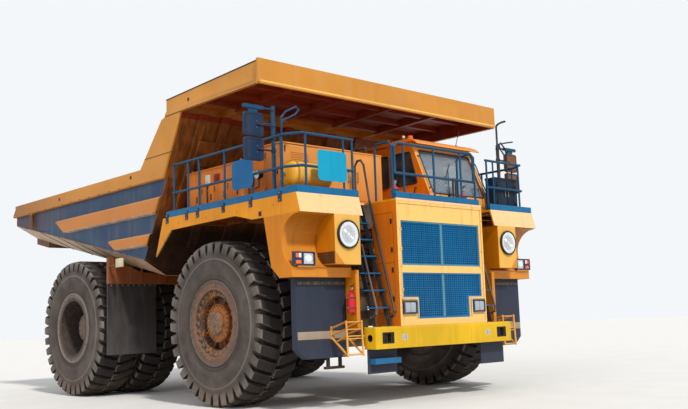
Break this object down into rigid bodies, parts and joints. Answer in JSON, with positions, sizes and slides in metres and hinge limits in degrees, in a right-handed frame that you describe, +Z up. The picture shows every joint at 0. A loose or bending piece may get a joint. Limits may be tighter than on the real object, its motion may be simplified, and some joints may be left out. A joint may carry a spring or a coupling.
{
  "type": "mining dump truck",
  "caption": "Rigid rear-dump mining truck with a canopied tipping body, twin rear wheels, steered front wheels, cab, decks, ladders and hoists.",
  "frame": {"origin": "on the ground under the middle of the overall length and width", "axes": "+X towards the front of the truck, +Y to its left, +Z up"},
  "size_m": [11.725, 7.36, 5.976],
  "materials": {
    "frame_orange": "dusty paint",
    "body_orange": "dusty paint",
    "yellow": "satin paint",
    "blue": "satin paint",
    "dark_metal": "greasy paint",
    "steel": "worn steel",
    "rubber_sheet": "dusty rubber",
    "tyre": "dusty rubber",
    "rim": "rusty paint",
    "lamp": "clear lens",
    "glass": "clear",
    "seat": "woven",
    "red": "gloss paint"
  },
  "bodies": {
    "chassis": {"frame_rails": "frame_orange", "front_axle": "dark_metal", "rear_axle": "dark_metal", "suspension_struts": "steel", "engine_block": "dark_metal", "radiator_housing": "yellow", "radiator_grilles": "blue", "bumper": "yellow", "lamps": "lamp", "front_fenders": "yellow", "side_decks": "yellow", "center_deck": "yellow", "railings": "blue", "ladders": "blue", "lattice_steps": "yellow", "mudflaps": "rubber_sheet", "rear_guards": "frame_orange", "side_tanks": "frame_orange", "cabinets": "body_orange", "air_tank": "yellow", "mirrors": "blue", "extinguishers": "red", "cab_shell": "body_orange", "cab_roof": "yellow", "cab_glass": "glass", "cab_seat": "seat"},
    "cab_door": {"cab_door": "body_orange", "door_glass": "glass"},
    "dump_body": {"body_floor": "body_orange", "body_side_right": "body_orange", "body_side_left": "body_orange", "body_front_wall": "body_orange", "body_canopy": "body_orange"},
    "hoist_barrel_right": {"hoist_barrel_right": "dark_metal"},
    "hoist_stage_right": {"hoist_stage_right": "steel"},
    "hoist_rod_right": {"hoist_rod_right": "steel"},
    "knuckle_right": {"knuckle_right": "dark_metal"},
    "wheel_front_right": {"front_tyre_right": "tyre", "front_rim_right": "rim"},
    "wheel_rear_right": {"rear_tyres_right": "tyre", "rear_rims_right": "rim"},
    "hoist_barrel_left": {"hoist_barrel_left": "dark_metal"},
    "hoist_stage_left": {"hoist_stage_left": "steel"},
    "hoist_rod_left": {"hoist_rod_left": "steel"},
    "knuckle_left": {"knuckle_left": "dark_metal"},
    "wheel_front_left": {"front_tyre_left": "tyre", "front_rim_left": "rim"},
    "wheel_rear_left": {"rear_tyres_left": "tyre", "rear_rims_left": "rim"},
    "tie_rod": {"tie_rod": "steel"}
  },
  "joints": [
    {"name": "dump_body_tip", "type": "hinge", "parent": "chassis", "child": "dump_body", "pos_m": [-3.5625, 0, 2.3], "axis": [0, -1, 0], "range_deg": [0, 47]},
    {"name": "hoist_swing_left", "type": "hinge", "parent": "chassis", "child": "hoist_barrel_left", "pos_m": [-0.5125, 0.95, 1], "axis": [0, -1, 0], "range_deg": [0, 17.43]},
    {"name": "hoist_stage_left", "type": "slide", "parent": "hoist_barrel_left", "child": "hoist_stage_left", "axis": [0, 0, 1], "range_m": [0, 1.1686]},
    {"name": "hoist_rod_left", "type": "slide", "parent": "hoist_stage_left", "child": "hoist_rod_left", "axis": [0, 0, 1], "range_m": [0, 1.1686]},
    {"name": "hoist_swing_right", "type": "hinge", "parent": "chassis", "child": "hoist_barrel_right", "pos_m": [-0.5125, -0.95, 1], "axis": [0, -1, 0], "range_deg": [0, 17.43]},
    {"name": "hoist_stage_right", "type": "slide", "parent": "hoist_barrel_right", "child": "hoist_stage_right", "axis": [0, 0, 1], "range_m": [0, 1.1686]},
    {"name": "hoist_rod_right", "type": "slide", "parent": "hoist_stage_right", "child": "hoist_rod_right", "axis": [0, 0, 1], "range_m": [0, 1.1686]},
    {"name": "steer_left", "type": "hinge", "parent": "chassis", "child": "knuckle_left", "pos_m": [3.0375, 1.95, 1.485], "axis": [0, 0, 1], "range_deg": [-38, 38]},
    {"name": "steer_right", "type": "hinge", "parent": "chassis", "child": "knuckle_right", "pos_m": [3.0375, -1.95, 1.485], "axis": [0, 0, 1], "range_deg": [-38, 38]},
    {"name": "tie_rod_pivot", "type": "hinge", "parent": "knuckle_left", "child": "tie_rod", "pos_m": [2.4875, 1.95, 1.09], "axis": [0, 0, 1], "range_deg": [-38, 38]},
    {"name": "wheel_front_left", "type": "hinge", "parent": "knuckle_left", "child": "wheel_front_left", "pos_m": [3.0375, 2.683, 1.485], "axis": [0, 1, 0], "continuous": true},
    {"name": "wheel_front_right", "type": "hinge", "parent": "knuckle_right", "child": "wheel_front_right", "pos_m": [3.0375, -2.683, 1.485], "axis": [0, 1, 0], "continuous": true},
    {"name": "wheel_rear_left", "type": "hinge", "parent": "chassis", "child": "wheel_rear_left", "pos_m": [-2.2625, 2.3, 1.485], "axis": [0, 1, 0], "continuous": true},
    {"name": "wheel_rear_right", "type": "hinge", "parent": "chassis", "child": "wheel_rear_right", "pos_m": [-2.2625, -2.3, 1.485], "axis": [0, 1, 0], "continuous": true},
    {"name": "cab_door_hinge", "type": "hinge", "parent": "chassis", "child": "cab_door", "pos_m": [4.4575, 2.375, 4.2], "axis": [0, 0, -1], "range_deg": [0, 75]}
  ],
  "couplings": [
    {"joint": "hoist_swing_left", "follows": "dump_body_tip", "ratio": 0.3602},
    {"joint": "hoist_stage_left", "follows": "dump_body_tip", "m_per_rad": 1.4221},
    {"joint": "hoist_rod_left", "follows": "dump_body_tip", "m_per_rad": 1.4221},
    {"joint": "hoist_swing_right", "follows": "dump_body_tip", "ratio": 0.3602},
    {"joint": "hoist_stage_right", "follows": "dump_body_tip", "m_per_rad": 1.4221},
    {"joint": "hoist_rod_right", "follows": "dump_body_tip", "m_per_rad": 1.4221},
    {"joint": "steer_right", "follows": "steer_left", "ratio": 1},
    {"joint": "tie_rod_pivot", "follows": "steer_left", "ratio": -1}
  ]
}
